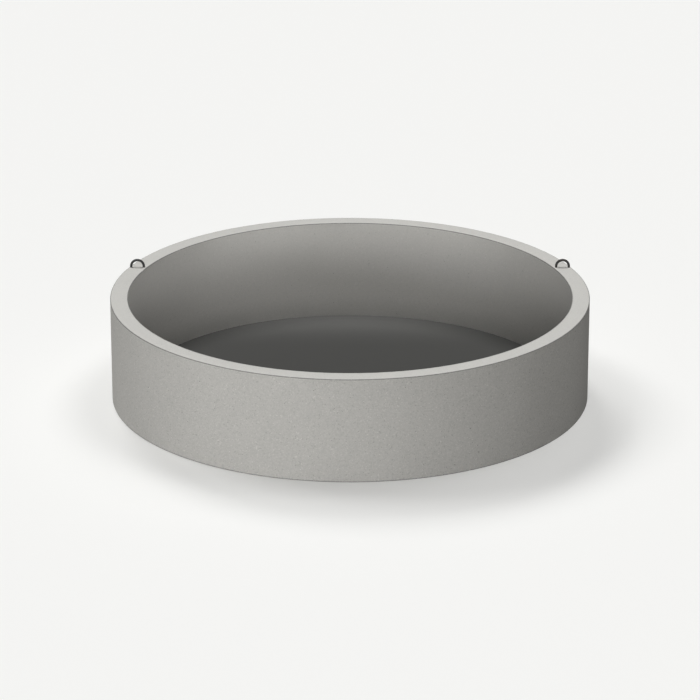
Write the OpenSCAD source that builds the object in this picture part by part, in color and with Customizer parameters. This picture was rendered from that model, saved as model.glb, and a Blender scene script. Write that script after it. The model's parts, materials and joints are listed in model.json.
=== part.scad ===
// Wall ring of reinforced concrete, for a round shaft, well or culvert.
// It is one plain casting with flat ends, and two lifting loops of round steel
// bar are cast into its rim. Units are millimetres and +Z is up. The origin is
// the centre of the bed, which is the flat end that the ring stands on.

/* [Ring] */
// Inside diameter of the ring
inner_d = 2500; // [1500:50:3000]
// Thickness of the wall
wall_t = 100; // [80:5:160]
// Height of the ring
ring_h = 590; // [490:10:1790]
// Width of the 45 degree arris on each edge of the rim and the bed
arris = 4; // [1:1:8]

/* [Lifting loops] */
// Diameter of the round bar
bar_d = 14; // [10:1:18]
// Concrete between a leg of the loop and the nearer face of the wall
bar_cover = 9; // [5:1:15]
// Straight length of each leg above the rim, up to the bend
leg_rise = 10; // [5:1:80]
// Angle of each loop behind the diameter that runs from left to right
loop_bearing = 20; // [0:1:35]

/* [Anchors in the wall] */
// Depth of the loop's hooks below the rim
anchor_depth = 400; // [200:10:440]
// Radius of a hook's bend, at the middle of the bar
hook_r = 28; // [20:1:40]
// Straight tail of a hook, after its bend
hook_tail = 42; // [20:1:80]

/* [Hidden] */
$fn = 96;

CONCRETE = [0.69, 0.685, 0.67];
MILL_SCALE = [0.23, 0.23, 0.22];

inner_r = inner_d / 2;
outer_r = inner_r + wall_t;
middle_r = inner_r + wall_t / 2;
bar_r = bar_d / 2;

// Both loops stand in one upright plane across the ring, so that a two-leg
// sling pulls each of them in its own plane.
loop_y = middle_r * sin(loop_bearing);

// Where a leg stands in that plane, when its middle is at radius r.
function leg_x(r) = sqrt(r * r - loop_y * loop_y);

outer_leg_x = leg_x(outer_r - bar_cover - bar_r);
inner_leg_x = leg_x(inner_r + bar_cover + bar_r);
loop_x = (outer_leg_x + inner_leg_x) / 2;
bend_r = (outer_leg_x - inner_leg_x) / 2;

// Each leg is straight from the bend above the rim down to its hook.
shank = anchor_depth - hook_r - bar_r;

// Section of the wall, with an arris at each of its four corners.
module wall_section() {
    polygon([
        [inner_r + arris, 0],
        [outer_r - arris, 0],
        [outer_r, arris],
        [outer_r, ring_h - arris],
        [outer_r - arris, ring_h],
        [inner_r + arris, ring_h],
        [inner_r, ring_h - arris],
        [inner_r, arris],
    ]);
}

// Half a turn of bar that arches up over the origin, in the XZ plane.
module half_turn(r) {
    rotate([90, 0, 0])
        rotate_extrude(angle = 180)
            translate([r, 0])
                circle(r = bar_r);
}

// One leg, from the bend down to its hook. The origin is where it leaves the
// rim, and hook_side is 1 for a hook that turns towards +Y, or -1 for -Y.
module leg(hook_side) {
    translate([0, 0, -shank]) {
        cylinder(r = bar_r, h = shank + leg_rise);
        translate([0, hook_side * hook_r, 0]) {
            rotate([180, 0, 90]) half_turn(hook_r);
            translate([0, hook_side * hook_r, 0])
                cylinder(r = bar_r, h = hook_tail);
        }
    }
}

// The loop at the right. Its hooks turn along the wall and away from the faces
// that the legs are near: the outer leg's forwards, the inner leg's backwards.
module lifting_loop() {
    translate([loop_x, loop_y, ring_h]) {
        translate([0, 0, leg_rise]) half_turn(bend_r);
        translate([bend_r, 0, 0]) leg(hook_side = -1);
        translate([-bend_r, 0, 0]) leg(hook_side = 1);
    }
}

// The loop at the left is the same bar, turned over.
module mirrored_lifting_loop() {
    mirror([1, 0, 0]) lifting_loop();
}

// The concrete closes tightly round each bar that is cast into it.
module ring_wall() {
    color(CONCRETE)
        difference() {
            rotate_extrude() wall_section();
            lifting_loop();
            mirrored_lifting_loop();
        }
}

module lifting_loop_left() {
    color(MILL_SCALE) mirrored_lifting_loop();
}

module lifting_loop_right() {
    color(MILL_SCALE) lifting_loop();
}

ring_wall();
lifting_loop_left();
lifting_loop_right();
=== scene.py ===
# %% [markdown]
# # A concrete ring for a shaft
#
# The real object is one heavy casting: a round wall of concrete, 590 mm high and 100 mm
# thick, that stands flat on its bed. Two loops of round steel bar are cast into its rim, and
# a crane lifts it by them. This notebook starts from the exact CAD model of those pieces. It
# gives the wall the small shapes that a mould and a trowel leave, then paints both materials
# with nodes, and sets up a plain studio round the ring.

# %% Load the exact model
import json, math, random
import bmesh, bpy
from mathutils import Matrix, Vector, noise

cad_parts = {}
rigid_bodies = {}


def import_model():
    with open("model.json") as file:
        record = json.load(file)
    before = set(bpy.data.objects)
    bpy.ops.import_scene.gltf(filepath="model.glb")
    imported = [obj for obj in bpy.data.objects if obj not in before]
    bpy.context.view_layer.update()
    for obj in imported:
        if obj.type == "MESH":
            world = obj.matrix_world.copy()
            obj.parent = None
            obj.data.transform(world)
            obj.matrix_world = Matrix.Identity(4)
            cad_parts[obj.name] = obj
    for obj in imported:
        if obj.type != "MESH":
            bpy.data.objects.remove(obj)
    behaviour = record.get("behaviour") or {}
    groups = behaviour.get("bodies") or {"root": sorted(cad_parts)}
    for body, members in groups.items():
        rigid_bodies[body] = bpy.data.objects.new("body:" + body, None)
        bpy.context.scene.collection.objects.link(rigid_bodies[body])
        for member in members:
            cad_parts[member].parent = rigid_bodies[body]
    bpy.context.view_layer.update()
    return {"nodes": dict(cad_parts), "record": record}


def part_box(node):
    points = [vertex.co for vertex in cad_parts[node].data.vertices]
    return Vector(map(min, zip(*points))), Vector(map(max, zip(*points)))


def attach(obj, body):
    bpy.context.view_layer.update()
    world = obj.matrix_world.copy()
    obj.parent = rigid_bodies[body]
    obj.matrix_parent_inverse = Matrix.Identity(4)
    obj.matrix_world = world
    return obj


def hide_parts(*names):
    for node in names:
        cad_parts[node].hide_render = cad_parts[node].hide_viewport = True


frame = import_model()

print("CAD pieces:", sorted(frame["nodes"]))

# %% [markdown]
# ## Sizes
#
# Every new piece takes its place from the CAD model, so that nothing has to be fitted by eye.
# The wall's box gives the outside radius and the height. The record of the part gives the
# radius of the bore. Each loop's box gives the plane that its bar stands in, and its legs
# stand half a bar inside the ends of that box.

# %% Read the sizes from the CAD model
wall_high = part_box("ring_wall")[1]
loop_low, loop_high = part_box("lifting_loop_right")
bore = next(m for m in frame["record"]["mounts"] if m["name"] == "bore")

outer_r = wall_high.x
inner_r = bore["dims"]["r_mm"] / 1000
wall = outer_r - inner_r
height = wall_high.z
bar_r = 0.007
leg_x = (loop_low.x + bar_r, loop_high.x - bar_r)
leg_y = (loop_low.y + loop_high.y) / 2
print(f"outside radius {outer_r:.3f}, bore {inner_r:.3f}, height {height:.3f} m")
print("legs at x =", [round(x, 4) for x in leg_x], "and y =", round(leg_y, 4))

# %% [markdown]
# ## The wall
#
# A round casting is a section that has been turned round an axis, so the wall starts as a
# flat rectangle that stands beside the axis. Vertex bevels round its four corners: concrete
# never leaves a mould with a knife edge. The long sides are cut into short steps, which give
# the surface something to bend with, and then the outline is spun through a full turn.

# %% Draw the section of the wall
ARRIS = 0.004

def cut_long_edges(bm, longest, cuts):
    """Cuts every edge that is longer than a given length into equal steps."""
    long_edges = [e for e in bm.edges if e.calc_length() > longest]
    bmesh.ops.subdivide_edges(bm, edges=long_edges, cuts=cuts)

casting = bmesh.new()
bmesh.ops.create_grid(casting, x_segments=1, y_segments=1, size=0.5)
bmesh.ops.scale(casting, vec=(wall, height, 1), verts=casting.verts)
bmesh.ops.rotate(casting, matrix=Matrix.Rotation(math.pi / 2, 3, "X"), verts=casting.verts)
bmesh.ops.translate(casting, vec=((inner_r + outer_r) / 2, 0, height / 2), verts=casting.verts)
bmesh.ops.bevel(casting, geom=casting.verts[:], offset=ARRIS, offset_type="OFFSET",
                segments=3, profile=0.5, affect="VERTICES", material=-1)
bmesh.ops.delete(casting, geom=casting.faces[:], context="FACES_ONLY")
cut_long_edges(casting, 0.3, cuts=15)
cut_long_edges(casting, 0.06, cuts=4)
print("the outline has", len(casting.verts), "points")

# %% Spin the section into a ring
STEPS = 480
bmesh.ops.spin(casting, geom=casting.verts[:] + casting.edges[:], cent=(0, 0, 0),
               axis=(0, 0, 1), angle=math.tau, steps=STEPS, use_merge=True)
bmesh.ops.remove_doubles(casting, verts=casting.verts, dist=1e-5)
bmesh.ops.recalc_face_normals(casting, faces=casting.faces)
print("the ring has", len(casting.faces), "faces, closed:",
      all(e.is_manifold for e in casting.edges))

# %% [markdown]
# ## The surface that the mould and the trowel leave
#
# A steel mould is never quite true, and the rim is struck off and trowelled by hand, so no
# face is a perfect cylinder or plane. A slow, shallow noise moves each vertex a fraction of a
# millimetre into the concrete. It only ever moves inwards, so the ring stays inside its exact
# size. Along the arrises the same idea, with a shorter noise, wears the edge unevenly.

# %% Let the faces wander by a fraction of a millimetre
def into_the_wall(co):
    """The unit vector from a point on the surface towards the middle of the wall."""
    outward = Vector((co.x, co.y, 0)).normalized()
    inside = Vector((0, 0, height / 2)) + outward * (inner_r + outer_r) / 2
    gap = inside - co
    sideways = outward * (1 if gap.dot(outward) > 0 else -1)
    flat = abs(gap.z) > height / 2 - ARRIS * 0.6
    return Vector((0, 0, math.copysign(1, gap.z))) if flat else sideways

def edge_distance(co):
    """How far a point on the section is from the nearest of its four corners."""
    r = math.hypot(co.x, co.y)
    return math.hypot(min(r - inner_r, outer_r - r), min(co.z, height - co.z))

SLOW_DEPTH, RIPPLE_DEPTH, EDGE_WEAR = 0.0006, 0.0003, 0.0012
deepest = 0
for v in casting.verts:
    slow = 0.5 + 0.5 * noise.noise(v.co * 4.0)
    ripple = 0.5 + 0.5 * noise.noise(v.co * Vector((17, 17, 30)))
    depth = SLOW_DEPTH * slow + RIPPLE_DEPTH * ripple
    if edge_distance(v.co) < ARRIS * 1.1:
        depth += EDGE_WEAR * max(0, noise.noise(v.co * 38.0)) ** 1.5
    v.co += into_the_wall(v.co) * depth
    deepest = max(deepest, depth)
print(f"the deepest hollow is {deepest * 1000:.2f} mm")

# %% [markdown]
# ## Air pores and chipped arrises
#
# Small bubbles of air cling to a mould, and they leave round pores in the face when it comes
# off. They are real holes, so they are cut out of the wall: hundreds of small spheres make
# one cutter. Each sphere sits with its middle near the face, and there are more towards the
# top, because air rises while the concrete is vibrated. Long, flattened spheres on the
# corners of the section make the few chips that handling knocks off an edge.

# %% Make one cutter for all the pores
random.seed(11)
PORES_OUTSIDE, PORES_INSIDE = 460, 260
SMALLEST, LARGEST_OUTSIDE, LARGEST_INSIDE = 0.0012, 0.0043, 0.0024
LARGE_PORE, PORE_SPACING, CLEAR_OF_ARRIS = 0.0022, 0.03, 0.02

def turned(radius, angle, z):
    """A point at a radius and an angle round the ring."""
    return Vector((radius * math.cos(angle), radius * math.sin(angle), z))

def pour(handful, heap):
    """Moves everything from one bmesh into another; many small heaps fill faster than one."""
    spare = bpy.data.meshes.new("spare")
    handful.to_mesh(spare)
    heap.from_mesh(spare)
    handful.clear()
    bpy.data.meshes.remove(spare)

def scatter_pores(heap, radius, count, side, largest):
    """Small spheres on a face; side is +1 for the outside and -1 for the bore."""
    taken, handful = set(), bmesh.new()
    while len(taken) < count:
        angle, z = random.uniform(0, math.tau), height * random.betavariate(1.5, 1.15)
        cell = (round(angle * radius / PORE_SPACING), round(z / PORE_SPACING))
        near = {(cell[0] + i, cell[1] + j) for i in (-1, 0, 1) for j in (-1, 0, 1)}
        if near & taken or not CLEAR_OF_ARRIS < z < height - CLEAR_OF_ARRIS:
            continue
        taken.add(cell)
        r = SMALLEST + (largest - SMALLEST) * random.random() ** 3
        place = Matrix.Translation(turned(radius + side * r * random.uniform(0.1, 0.5), angle, z))
        squash = Matrix.Diagonal((1, 1, random.uniform(0.7, 1.0), 1))
        roundness = 3 if r > LARGE_PORE else 2
        bmesh.ops.create_icosphere(handful, subdivisions=roundness, radius=r,
                                   matrix=place @ squash)
        if len(taken) % 20 == 0:
            pour(handful, heap)
    pour(handful, heap)
    return len(taken)

cutter = bmesh.new()
made = scatter_pores(cutter, outer_r, PORES_OUTSIDE, 1, LARGEST_OUTSIDE)
made += scatter_pores(cutter, inner_r, PORES_INSIDE, -1, LARGEST_INSIDE)
print(made, "pores,", len(cutter.faces), "faces in their cutter")

# %% Add the chips along the four arrises
def scatter_chips(heap, radius, z, count):
    """Flattened spheres that bite into a corner of the section."""
    handful = bmesh.new()
    for i in range(count):
        angle = math.tau * (i + random.uniform(0.1, 0.9)) / count
        length, bite = random.uniform(0.003, 0.009), random.uniform(0.0014, 0.0028)
        place = Matrix.Translation(turned(radius, angle, z)) @ Matrix.Rotation(angle, 4, "Z")
        tilt = Matrix.Rotation(random.uniform(-0.4, 0.4), 4, "X")
        size = Matrix.Diagonal((bite * 1.5, length, bite * 1.3, 1))
        bmesh.ops.create_icosphere(handful, subdivisions=2, radius=1, matrix=place @ tilt @ size)
    pour(handful, heap)

for radius, z, count in ((outer_r, height, 26), (inner_r, height, 18),
                         (outer_r, 0, 30), (inner_r, 0, 8)):
    scatter_chips(cutter, radius, z, count)
print("the cutter now has", len(cutter.faces), "faces")

# %% [markdown]
# ## Where the bars leave the concrete
#
# The loops are set in the wet concrete, and the trowel leaves a low collar of paste round
# each leg. Each collar is a flat cone that is joined to the wall. The bars themselves are
# then cut out of it, with copies of the CAD loops, so that the concrete closes tightly round
# the steel, as it does in the real casting. The foot of a collar stays inside the arris.

# %% Make the collars and the channels for the bars
COLLAR_FOOT, COLLAR_TOP, COLLAR_DEPTH, COLLAR_SINK = 0.004, 0.0008, 0.0055, 0.0005

def scatter_collars(bm):
    """A low cone of paste round each of the four legs."""
    for side in (-1, 1):
        for x in leg_x:
            place = Matrix.Translation((side * x, leg_y, height - COLLAR_SINK))
            made = bmesh.ops.create_cone(bm, cap_ends=True, segments=40, matrix=place,
                                         radius1=bar_r + COLLAR_FOOT, depth=COLLAR_DEPTH,
                                         radius2=bar_r + COLLAR_TOP)
            for v in made["verts"]:
                out = Vector((v.co.x - side * x, v.co.y - leg_y, 0))
                v.co += out * 0.07 * noise.noise(v.co * 90)

collars = bmesh.new()
scatter_collars(collars)
for name in ("lifting_loop_left", "lifting_loop_right"):
    bar = bmesh.new()
    bar.from_mesh(frame["nodes"][name].data)
    bmesh.ops.remove_doubles(bar, verts=bar.verts, dist=1e-6)
    print(name, len(bar.faces), "faces, closed:", all(e.is_manifold for e in bar.edges))
    pour(bar, cutter)
    bar.free()

# %% [markdown]
# ## One wall out of many cuts
#
# The collars are joined to the wall first, and then one cut takes away every pore, chip and
# bar at once, which is quicker and cleaner than hundreds of small ones. The wall has three
# finishes before the cut: the outside and the bed, the rim, and the side towards the core.
# The cutter has a finish of its own, and it passes to each face that the cut leaves, so the
# inside of a pore shows bare sand without any painting by hand.

# %% Join the collars, then cut the pores, chips and bars
def as_object(bm, name):
    """A mesh object with that bmesh, linked to the scene."""
    mesh = bpy.data.meshes.new(name)
    bm.to_mesh(mesh)
    bm.free()
    obj = bpy.data.objects.new(name, mesh)
    bpy.context.scene.collection.objects.link(obj)
    return obj

def combine(piece, tool, operation):
    """Joins a tool to a piece or cuts it away, and keeps only the result."""
    step = piece.modifiers.new(operation, "BOOLEAN")
    step.operation, step.solver, step.object = operation, "MANIFOLD", tool
    step.material_mode = "TRANSFER"
    view = bpy.context.evaluated_depsgraph_get()
    result = bpy.data.meshes.new_from_object(piece.evaluated_get(view), depsgraph=view)
    piece.modifiers.clear()
    piece.data = result
    bpy.data.objects.remove(tool)

cast_wall = as_object(casting, "cast_wall")
formed = bpy.data.materials.new("formed concrete")
trowelled = bpy.data.materials.new("trowelled concrete")
core_side = bpy.data.materials.new("core-side concrete")
bare_grain = bpy.data.materials.new("bare sand and grain")
for material in (formed, trowelled, core_side):
    cast_wall.data.materials.append(material)
for face in cast_wall.data.polygons:
    middle = face.center
    if face.normal.z > 0.5:
        face.material_index = 1
    elif face.normal.x * middle.x + face.normal.y * middle.y < 0:
        face.material_index = 2
paste = as_object(collars, "paste_collars")
paste.data.materials.append(trowelled)
tool = as_object(cutter, "cutter")
tool.data.materials.append(bare_grain)
combine(cast_wall, paste, "UNION")
combine(cast_wall, tool, "DIFFERENCE")
print("the wall has", len(cast_wall.data.polygons), "faces and the materials",
      [m.name for m in cast_wall.data.materials])

# %% [markdown]
# Light should run smoothly over the wall and stop at the rim of a pore. So every face is
# shaded smoothly, and the edges where the bare sand begins are marked as sharp. Without
# those marks, each pore would throw a streak over the long thin faces beside it.

# %% Shade it smoothly, with sharp rims on the pores
bare = cast_wall.data.materials.find(bare_grain.name)
cast_wall.data.set_sharp_from_angle(angle=math.radians(35))
shaded = bmesh.new()
shaded.from_mesh(cast_wall.data)
rims = [e for e in shaded.edges if sum(f.material_index == bare for f in e.link_faces) == 1]
for face in shaded.faces:
    face.smooth = True
for edge in rims:
    edge.smooth = False
shaded.to_mesh(cast_wall.data)
shaded.free()
print("edges on the rims of pores and chips:", len(rims))
cast_wall.data.name = "cast_wall"
triangles = sum(len(p.vertices) - 2 for p in cast_wall.data.polygons)
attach(cast_wall, "root")
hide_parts("ring_wall")
print("triangles:", triangles)

# %% [markdown]
# ## A few helpers for materials
#
# A material is a small graph of nodes. These helpers keep the cells below short: one adds a
# node and fills its sockets, one does arithmetic, one blends two colours and one opens a new
# node group. Every pattern reads Object coordinates, which are metres on the real ring, so
# a scale of 100 means a pattern that repeats about every 10 mm.

# %% Helpers that add nodes
def add(tree, kind, inputs={}, **settings):
    """Adds a shader node, with its settings and with a value or a link for each input."""
    node = tree.nodes.new("ShaderNode" + kind)
    for name, value in settings.items():
        setattr(node, name, value)
    for name, value in inputs.items():
        if isinstance(value, bpy.types.NodeSocket):
            tree.links.new(value, node.inputs[name])
        else:
            node.inputs[name].default_value = value
    return node

def calc(tree, operation, *values):
    """The result of a Math node."""
    return add(tree, "Math", dict(enumerate(values)), operation=operation).outputs[0]

def remap(tree, value, low, high, to_low=0.0, to_high=1.0):
    """Moves a value from one range to another, with smooth ends."""
    return add(tree, "MapRange", {0: value, 1: low, 2: high, 3: to_low, 4: to_high},
               interpolation_type="SMOOTHSTEP").outputs[0]

def blend(tree, share, a, b, mode="MIX"):
    """The colour of a Mix node."""
    return add(tree, "Mix", {0: share, 6: a, 7: b}, data_type="RGBA", blend_type=mode).outputs[2]

def open_group(name, inputs, outputs):
    """A new node group, with its named sockets, and its two end nodes."""
    tree = bpy.data.node_groups.new(name, "ShaderNodeTree")
    for label, value in inputs.items():
        kind = "NodeSocketVector" if value is None else "NodeSocketFloat"
        socket = tree.interface.new_socket(label, in_out="INPUT", socket_type=kind)
        if value is not None:
            socket.default_value = value
    for label in outputs:
        tree.interface.new_socket(label, in_out="OUTPUT", socket_type="NodeSocketFloat")
    return tree, tree.nodes.new("NodeGroupInput").outputs, tree.nodes.new("NodeGroupOutput").inputs

def use_group(tree, group, **inputs):
    """Places a node group in a material and returns its outputs."""
    node = tree.nodes.new("ShaderNodeGroup")
    node.node_tree = group
    for name, value in inputs.items():
        socket = node.inputs[name.replace("_", " ")]
        if isinstance(value, bpy.types.NodeSocket):
            tree.links.new(value, socket)
        else:
            socket.default_value = value
    return node.outputs

print("helpers:", [helper.__name__ for helper in (add, calc, remap, blend, open_group, use_group)])

# %% [markdown]
# ## Effects that several materials share
#
# Concrete is cement paste with sand in it. Up close the grains are lighter and darker than
# the paste, and from further away slow clouds show where the mix was wetter. Steel bar has
# the same two patterns, in its fine flecks of scale and its broader brown patches. So each
# effect is made once, as a group with a size and a strength, and each material places it with
# its own numbers.

# %% Group: grains of sand
sand, given, result = open_group(
    "Grains", {"Vector": None, "Grain size": 0.003, "Contrast": 0.1, "Speck share": 0.1},
    ["Tone", "Height"])
per_metre = calc(sand, "DIVIDE", 1.0, given["Grain size"])
cells = add(sand, "TexVoronoi", {"Vector": given["Vector"], "Scale": per_metre,
            "Smoothness": 0.3}, voronoi_dimensions="3D", feature="SMOOTH_F1")
lot = add(sand, "SeparateColor", {0: cells.outputs["Color"]}).outputs
fine = add(sand, "TexNoise", {"Vector": given["Vector"], "Detail": 5.0, "Roughness": 0.7,
                              "Scale": calc(sand, "MULTIPLY", per_metre, 0.55)}).outputs["Fac"]
swing = calc(sand, "ADD", calc(sand, "SUBTRACT", lot[0], 0.5), calc(sand, "SUBTRACT", fine, 0.5))
few = calc(sand, "MULTIPLY", given["Speck share"], 0.5)
pale = remap(sand, lot[1], given["Speck share"], few)
dark = remap(sand, lot[2], given["Speck share"], few)
swing = calc(sand, "MULTIPLY_ADD", calc(sand, "SUBTRACT", pale, dark), 1.3, swing)
sand.links.new(calc(sand, "MULTIPLY_ADD", swing, given["Contrast"], 1.0), result["Tone"])
sand.links.new(calc(sand, "MULTIPLY_ADD", lot[0], 0.4, fine), result["Height"])
print("group made:", sand.name)

# %% Group: slow clouds
clouds, given, result = open_group(
    "Clouds", {"Vector": None, "Cloud size": 0.3, "Contrast": 0.1}, ["Tone"])
slow = add(clouds, "TexNoise", {"Vector": given["Vector"], "Detail": 4.0, "Roughness": 0.55,
                                "Scale": calc(clouds, "DIVIDE", 1.0, given["Cloud size"])})
swing = calc(clouds, "SUBTRACT", slow.outputs["Fac"], 0.5)
clouds.links.new(calc(clouds, "MULTIPLY_ADD", swing, given["Contrast"], 1.0), result["Tone"])
print("group made:", clouds.name)

# %% [markdown]
# Beside the pores that are cut out, the face has many finer pinholes. As shapes they would
# cost too many faces, so they are a pattern: a Voronoi texture puts one point in each cell of
# space, a share of those points becomes a dark round mark, and each mark has its own size.
# The darkness of a mark is painted shade, in place of the shade inside a real hole.

# %% Group: pinholes too small to model
pinholes, given, result = open_group(
    "Pinholes", {"Vector": None, "Spacing": 0.012, "Share": 0.3, "Radius": 0.12}, ["Mask"])
holes = add(pinholes, "TexVoronoi", {"Vector": given["Vector"], "Randomness": 1.0,
            "Scale": calc(pinholes, "DIVIDE", 1.0, given["Spacing"])},
            voronoi_dimensions="3D", feature="F1")
lot = add(pinholes, "SeparateColor", {0: holes.outputs["Color"]})
chosen = calc(pinholes, "LESS_THAN", lot.outputs[0], given["Share"])
size = calc(pinholes, "MULTIPLY", given["Radius"], calc(pinholes, "ADD", lot.outputs[1], 0.5))
inside = calc(pinholes, "LESS_THAN", holes.outputs["Distance"], size)
pinholes.links.new(calc(pinholes, "MULTIPLY", chosen, inside), result["Mask"])
print("group made:", pinholes.name)

# %% [markdown]
# A thin dark line runs along each edge, where dirt settles on the worn arris. The group
# measures how far a point is from the nearest corner of the wall's section, so the line needs
# no painting, and a fine noise makes it ragged.

# %% Group: the worn line along an arris
arris_line, given, result = open_group(
    "Arris", {"Vector": None, "Inner radius": inner_r, "Outer radius": outer_r,
              "Top": height, "Width": 0.004}, ["Mask"])
place = add(arris_line, "SeparateXYZ", {0: given["Vector"]}).outputs
radius = calc(arris_line, "SQRT", calc(arris_line, "ADD", calc(arris_line, "POWER", place[0], 2.0),
                                       calc(arris_line, "POWER", place[1], 2.0)))
across = calc(arris_line, "MINIMUM", calc(arris_line, "SUBTRACT", radius, given["Inner radius"]),
              calc(arris_line, "SUBTRACT", given["Outer radius"], radius))
below_top = calc(arris_line, "SUBTRACT", given["Top"], place[2])
upright = calc(arris_line, "MINIMUM", place[2], below_top)
away = calc(arris_line, "SQRT", calc(arris_line, "ADD", calc(arris_line, "POWER", across, 2.0),
                                     calc(arris_line, "POWER", upright, 2.0)))
ragged = add(arris_line, "TexNoise", {"Vector": given["Vector"], "Scale": 120.0, "Detail": 2.0})
reach = calc(arris_line, "MULTIPLY", given["Width"],
             calc(arris_line, "MULTIPLY_ADD", ragged.outputs["Fac"], 0.6, 0.7))
arris_line.links.new(calc(arris_line, "SUBTRACT", 1.0, remap(
    arris_line, away, calc(arris_line, "MULTIPLY", reach, 0.7),
    calc(arris_line, "MULTIPLY", reach, 1.5))), result["Mask"])
print("group made:", arris_line.name)

# %% [markdown]
# ## Concrete
#
# Dry concrete is matt and a warm, light grey. The outside is cast against the mould, and it
# shows most grain and pores. The bore is cast against the core, which leaves a smoother skin,
# and its colour is painted darker towards its foot: painted shade for the bottom of the
# hollow. The rim is trowelled, which brings fine, pale paste to the top, so it is lighter and
# smoother still. Inside a pore or a chip the skin of paste is gone and the sand shows, darker
# and rough. All four share one recipe and differ only in its numbers, which keeps them one
# casting.

# %% Write the recipe for concrete
# Height above the foot over which the painted shade of the bore fades out.
SHADE_FOOT_HEIGHT = 0.16

def concrete(material, colour, grain, clouding, pore_share, arris_dark, foot_shade, roughness):
    """Fills a material with the concrete recipe."""
    material.use_nodes = True
    tree = material.node_tree
    tree.nodes.clear()
    where = add(tree, "TexCoord").outputs["Object"]
    grains = use_group(tree, sand, Vector=where, Grain_size=0.0055, Contrast=grain,
                       Speck_share=0.08)
    cloud = use_group(tree, clouds, Vector=where, Cloud_size=0.35, Contrast=clouding)
    pores = use_group(tree, pinholes, Vector=where, Spacing=0.014, Share=pore_share)
    arris = use_group(tree, arris_line, Vector=where)
    tone = calc(tree, "MULTIPLY", grains["Tone"], cloud["Tone"])
    # Painted shade: each pinhole mark darkens the colour by half.
    tone = calc(tree, "MULTIPLY", tone, calc(tree, "MULTIPLY_ADD", pores["Mask"], -0.5, 1.0))
    tone = calc(tree, "MULTIPLY", tone, calc(tree, "MULTIPLY_ADD", arris["Mask"], -arris_dark, 1.0))
    # Painted shade: the colour turns darker towards the foot of the wall, by the share given for
    # the foot.
    level = add(tree, "SeparateXYZ", {0: where}).outputs[2]
    level = calc(tree, "MULTIPLY_ADD", calc(tree, "SUBTRACT", cloud["Tone"], 1.0), 0.6, level)
    foot_darkening = calc(tree, "MULTIPLY_ADD", remap(tree, level, 0.0, SHADE_FOOT_HEIGHT), foot_shade, 1.0 - foot_shade)
    tone = calc(tree, "MULTIPLY", tone, foot_darkening)
    shade = add(tree, "CombineColor", {0: tone, 1: tone, 2: tone}).outputs[0]
    paint = blend(tree, 1.0, (*colour, 1), shade, "MULTIPLY")
    low = calc(tree, "MULTIPLY_ADD", pores["Mask"], -3.0, grains["Height"])
    bump = add(tree, "Bump", {"Height": low, "Distance": 0.0004, "Strength": 0.5})
    rough = calc(tree, "MULTIPLY_ADD", grains["Height"], 0.10, roughness)
    shader = add(tree, "BsdfPrincipled", {"Base Color": paint, "Roughness": rough,
                                          "Normal": bump.outputs[0]})
    shader.inputs["Specular IOR Level"].default_value = 0.25
    add(tree, "OutputMaterial", {"Surface": shader.outputs[0]})
    return material

concrete(formed, (0.470, 0.461, 0.437), grain=0.13, clouding=0.10, pore_share=0.14,
         arris_dark=0.70, foot_shade=0.0, roughness=0.82)
concrete(trowelled, (0.540, 0.533, 0.507), grain=0.05, clouding=0.06, pore_share=0.03,
         arris_dark=0.60, foot_shade=0.0, roughness=0.78)
# Only the side towards the core gets painted shade towards its foot.
concrete(core_side, (0.470, 0.461, 0.437), grain=0.06, clouding=0.08, pore_share=0.05,
         arris_dark=0.60, foot_shade=0.20, roughness=0.80)
concrete(bare_grain, (0.300, 0.293, 0.275), grain=0.30, clouding=0.10, pore_share=0.0,
         arris_dark=0.0, foot_shade=0.0, roughness=0.90)
print("concrete:", [m.name for m in (formed, trowelled, core_side, bare_grain)])

# %% [markdown]
# ## The bar of the loops
#
# Hot-rolled bar is covered with a thin skin of blue-black scale. It isn't a mirror like
# polished steel: it is dark, with a dull sheen, and it is a little rougher and browner in
# patches. The scale is still metal underneath, so the metallic value stays fairly high.

# %% Finish the loops
mill_scale = bpy.data.materials.new("mill scale on round bar")
mill_scale.use_nodes = True
tree = mill_scale.node_tree
tree.nodes.clear()
where = add(tree, "TexCoord").outputs["Object"]
flecks = use_group(tree, sand, Vector=where, Grain_size=0.0012, Contrast=0.5, Speck_share=0.1)
patches = use_group(tree, clouds, Vector=where, Cloud_size=0.03, Contrast=1.2)
warm = remap(tree, patches["Tone"], 0.95, 1.25)
paint = blend(tree, warm, (0.050, 0.051, 0.052, 1), (0.066, 0.058, 0.051, 1))
shade = add(tree, "CombineColor", {i: flecks["Tone"] for i in range(3)}).outputs[0]
shader = add(tree, "BsdfPrincipled", {
    "Base Color": blend(tree, 1.0, paint, shade, "MULTIPLY"),
    "Roughness": calc(tree, "MULTIPLY_ADD", patches["Tone"], 0.25, 0.25),
    "Normal": add(tree, "Bump", {"Height": flecks["Height"], "Distance": 0.0001,
                                 "Strength": 0.4}).outputs[0]})
shader.inputs["Metallic"].default_value = 0.7
add(tree, "OutputMaterial", {"Surface": shader.outputs[0]})
for name in ("lifting_loop_left", "lifting_loop_right"):
    node = frame["nodes"][name]
    node.data.materials.clear()
    node.data.materials.append(mill_scale)
print("loops finished with:", mill_scale.name)

# %% [markdown]
# ## The studio
#
# The floor is a plain pale sheet. It is much larger than the ring, so that no view reaches
# its edge, and the sky behind it has the same tone. Inside the ring lies a dark disc of
# painted shade, so that the hollow looks dark, as it does over an open shaft. The disc
# covers the lowest few millimetres of the bore, and its painted shade is darkest at the
# front and paler towards the back.

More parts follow.
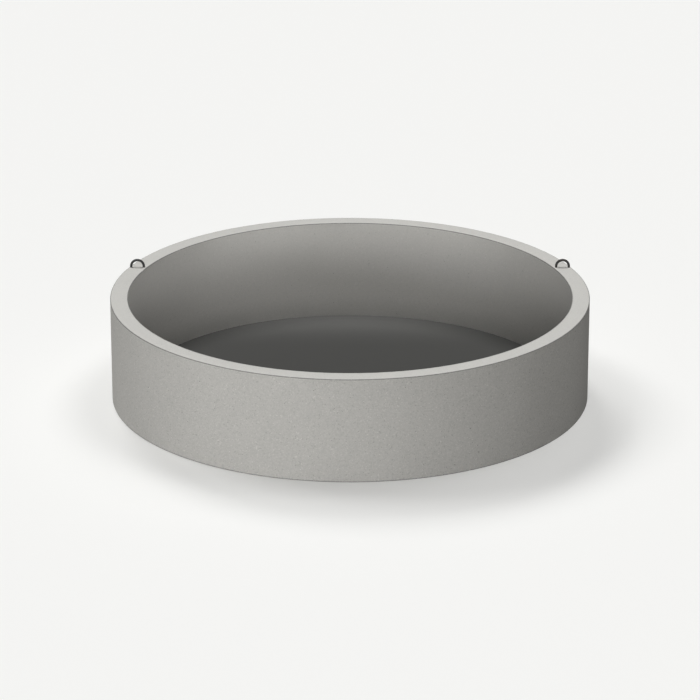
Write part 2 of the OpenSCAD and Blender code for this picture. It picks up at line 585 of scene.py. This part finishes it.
# %% Lay the floor
def sheet(name, radius, z, paint):
    """A flat matt disc; paint(tree) makes its colour."""
    bm = bmesh.new()
    bmesh.ops.create_circle(bm, cap_ends=True, segments=128, radius=radius,
                            matrix=Matrix.Translation((0, 0, z)))
    obj = as_object(bm, name)
    material = bpy.data.materials.new(name)
    material.use_nodes = True
    shader = material.node_tree.nodes["Principled BSDF"]
    shader.inputs["Roughness"].default_value = 1.0
    shader.inputs["Specular IOR Level"].default_value = 0.0
    material.node_tree.links.new(paint(material.node_tree), shader.inputs["Base Color"])
    obj.data.materials.append(material)
    return obj

def pale_sheet(tree):
    """Pale to the camera, and darker to the light that it throws back on the wall."""
    ray = add(tree, "LightPath").outputs["Is Camera Ray"]
    return blend(tree, ray, (0.25, 0.25, 0.244, 1), (0.90, 0.90, 0.885, 1))

FLOOR_RADIUS = 150.0
floor = sheet("floor", FLOOR_RADIUS, 0.0, pale_sheet)
print("floor radius in metres:", FLOOR_RADIUS)

# %% Lay a dark disc of painted shade in the ring
def painted_hollow_shade(tree):
    """Painted shade for the hollow: dark at the front and paler towards the back."""
    where = add(tree, "TexCoord").outputs["Object"]
    back = add(tree, "SeparateXYZ", {0: where}).outputs[1]
    towards_back = add(tree, "MapRange", {0: back, 1: 0.7, 2: inner_r}).outputs[0]
    return blend(tree, calc(tree, "POWER", towards_back, 2.0), (0.071, 0.071, 0.068, 1),
                 (0.155, 0.154, 0.149, 1))

# The disc of painted shade lies a few millimetres up the bore and reaches under the wall.
SHADE_DISC_LEVEL, UNDER_THE_WALL = 0.006, 0.010
sheet("painted_shade_in_the_ring", inner_r + UNDER_THE_WALL, SHADE_DISC_LEVEL, painted_hollow_shade)
print("the ground covers the lowest", SHADE_DISC_LEVEL * 1000, "mm of the bore")

# %% [markdown]
# ## Soft light
#
# In a studio, big soft lamps and black boards would light this ring, so that the lamp for
# one face doesn't spill on the next. Here light linking does the work of the boards: one
# set of lamps lights only the ring, and another only the floor. A wide lamp straight above
# lights the rim. The lamps in front stand low, so they brighten the outside, most of all at
# the left, and only graze over the near rim into the hollow. The panels stand lower than the
# rim and light nothing but the outside, which turns from light at the left to dark at the
# right.

# %% Set the lamps for the ring
studio = bpy.context.scene.collection
lit_ring = bpy.data.collections.new("lit with the ring")
lit_floor = bpy.data.collections.new("lit with the floor")
for obj in list(studio.objects):
    if obj.type == "MESH":
        (lit_floor if obj == floor else lit_ring).objects.link(obj)

def lamp(name, kind, power, location, aim, lights, **settings):
    """A lamp at a place, turned towards a point, that lights one collection only."""
    data = bpy.data.lights.new(name, kind)
    data.energy = power
    for key, value in settings.items():
        setattr(data, key, value)
    obj = bpy.data.objects.new(name, data)
    obj.location = location
    obj.rotation_euler = (Vector(location) - Vector(aim)).to_track_quat("Z", "Y").to_euler()
    obj.visible_camera = False
    obj.light_linking.receiver_collection = lights
    studio.objects.link(obj)

def bearing(side, rise, distance):
    """A point seen from the ring: side is degrees round from the front, positive to the right."""
    a, e = math.radians(side), math.radians(rise)
    return distance * Vector((math.sin(a) * math.cos(e), -math.cos(a) * math.cos(e), math.sin(e)))

def sun(name, side, rise, power, spread, lights, **settings):
    """A lamp far away; its place only gives its direction, and its spread is in degrees."""
    lamp(name, "SUN", power, bearing(side, rise, 10), (0, 0, 0), lights,
         angle=math.radians(spread), **settings)

PANEL_AWAY, PANEL_MIDDLE, PANEL_WIDTH, PANEL_HEIGHT = 3.4, 0.30, 1.5, 0.54

def low_panel(name, side, power):
    """An upright panel that ends just below the level of the rim."""
    middle = Vector((0, 0, PANEL_MIDDLE))
    lamp(name, "AREA", power, bearing(side, 0, PANEL_AWAY) + middle, middle, lit_ring,
         shape="RECTANGLE", size=PANEL_WIDTH, size_y=PANEL_HEIGHT)

sun("overhead", 0, 90, 2.92, 40, lit_ring)
sun("low_front", 0, 20, 0.623, 20, lit_ring)
sun("low_front_left", -40, 4, 1.011, 14, lit_ring)
sun("low_front_right", 25, 4, 0.336, 14, lit_ring)
low_panel("panel_front_left", -25, 11.3)
low_panel("panel_left", -100, 11.4)
low_panel("panel_back_right", 155, 16.0)

# %% [markdown]
# The bore gets its own light: a circle of narrow strips that hang just inside the mouth and
# face outwards. The concrete near them is the brightest, so the hollow fades with depth.

# %% Hang a circle of strips in the mouth
STRIPS, STRIP_LEVEL, STRIP_RADIUS, STRIP_HEIGHT = 12, 0.555, 0.95, 0.04
strip_length = 2 * STRIP_RADIUS * math.sin(math.pi / STRIPS)

EVERY_STRIP, FRONT_AND_BACK_STRIPS, LEFT_STRIPS = 0.048, 0.139, 0.162

def strip_power(i):
    """Strips are counted from the right, by way of the back, which is strip 3."""
    front_or_back, left = i in (2, 3, 4, 8, 9, 10), i in (4, 5, 6, 7)
    return EVERY_STRIP + FRONT_AND_BACK_STRIPS * front_or_back + LEFT_STRIPS * left

for i in range(STRIPS):
    place = turned(STRIP_RADIUS, math.tau * i / STRIPS, STRIP_LEVEL)
    aim = turned(inner_r, math.tau * i / STRIPS, STRIP_LEVEL)
    lamp(f"strip_{i}", "AREA", strip_power(i), place, aim, lit_ring,
         shape="RECTANGLE", size=strip_length, size_y=STRIP_HEIGHT)
print(STRIPS, "strips of", round(strip_length, 3), "m")

# %% [markdown]
# The floor is lit from behind, most of all from the left, so that the soft shadow falls in
# front of the ring and to its right. Two weaker lamps on the right soften its left edge. A
# lamp that casts no shadow fills it, which keeps it pale.

# %% Set the lamps for the floor, and the sky
sun("floor_fill", 0, 90, 1.159, 5, lit_floor, use_shadow=False)
sun("floor_back_left", -165, 44, 0.905, 18, lit_floor)
sun("floor_left", -130, 50, 0.776, 24, lit_floor)
sun("floor_back_right", 150, 55, 0.408, 30, lit_floor)
sun("floor_right", 120, 65, 0.427, 24, lit_floor)

world = bpy.data.worlds.new("studio")
bpy.context.scene.world = world
world.use_nodes = True
tree = world.node_tree
tree.nodes.clear()
ray = add(tree, "LightPath").outputs["Is Camera Ray"]
sky = blend(tree, ray, (0.02, 0.02, 0.02, 1), (0.93, 0.93, 0.913, 1))
add(tree, "OutputWorld", {"Surface": add(tree, "Background", {"Color": sky}).outputs[0]})
bpy.context.scene.view_settings.view_transform = "Standard"

# %% [markdown]
# ## The camera
#
# A long lens far away keeps the ring's ellipses almost free of perspective, as a catalogue
# view has them. The camera looks down by about twenty degrees, so that the hollow shows.

# %% Place the camera
DISTANCE, ELEVATION, LENS = 21.0, math.radians(20.55), 190.5
target = Vector((0, 0, 0.251))
eye = bpy.data.objects.new("camera", bpy.data.cameras.new("camera"))
eye.data.lens, eye.data.sensor_width = LENS, 36.0
eye.data.clip_end = 500.0
eye.location = target + DISTANCE * Vector((0, -math.cos(ELEVATION), math.sin(ELEVATION)))
eye.rotation_euler = (eye.location - target).to_track_quat("Z", "Y").to_euler()
studio.objects.link(eye)
bpy.context.scene.camera = eye
print("camera at", [round(x, 2) for x in eye.location])
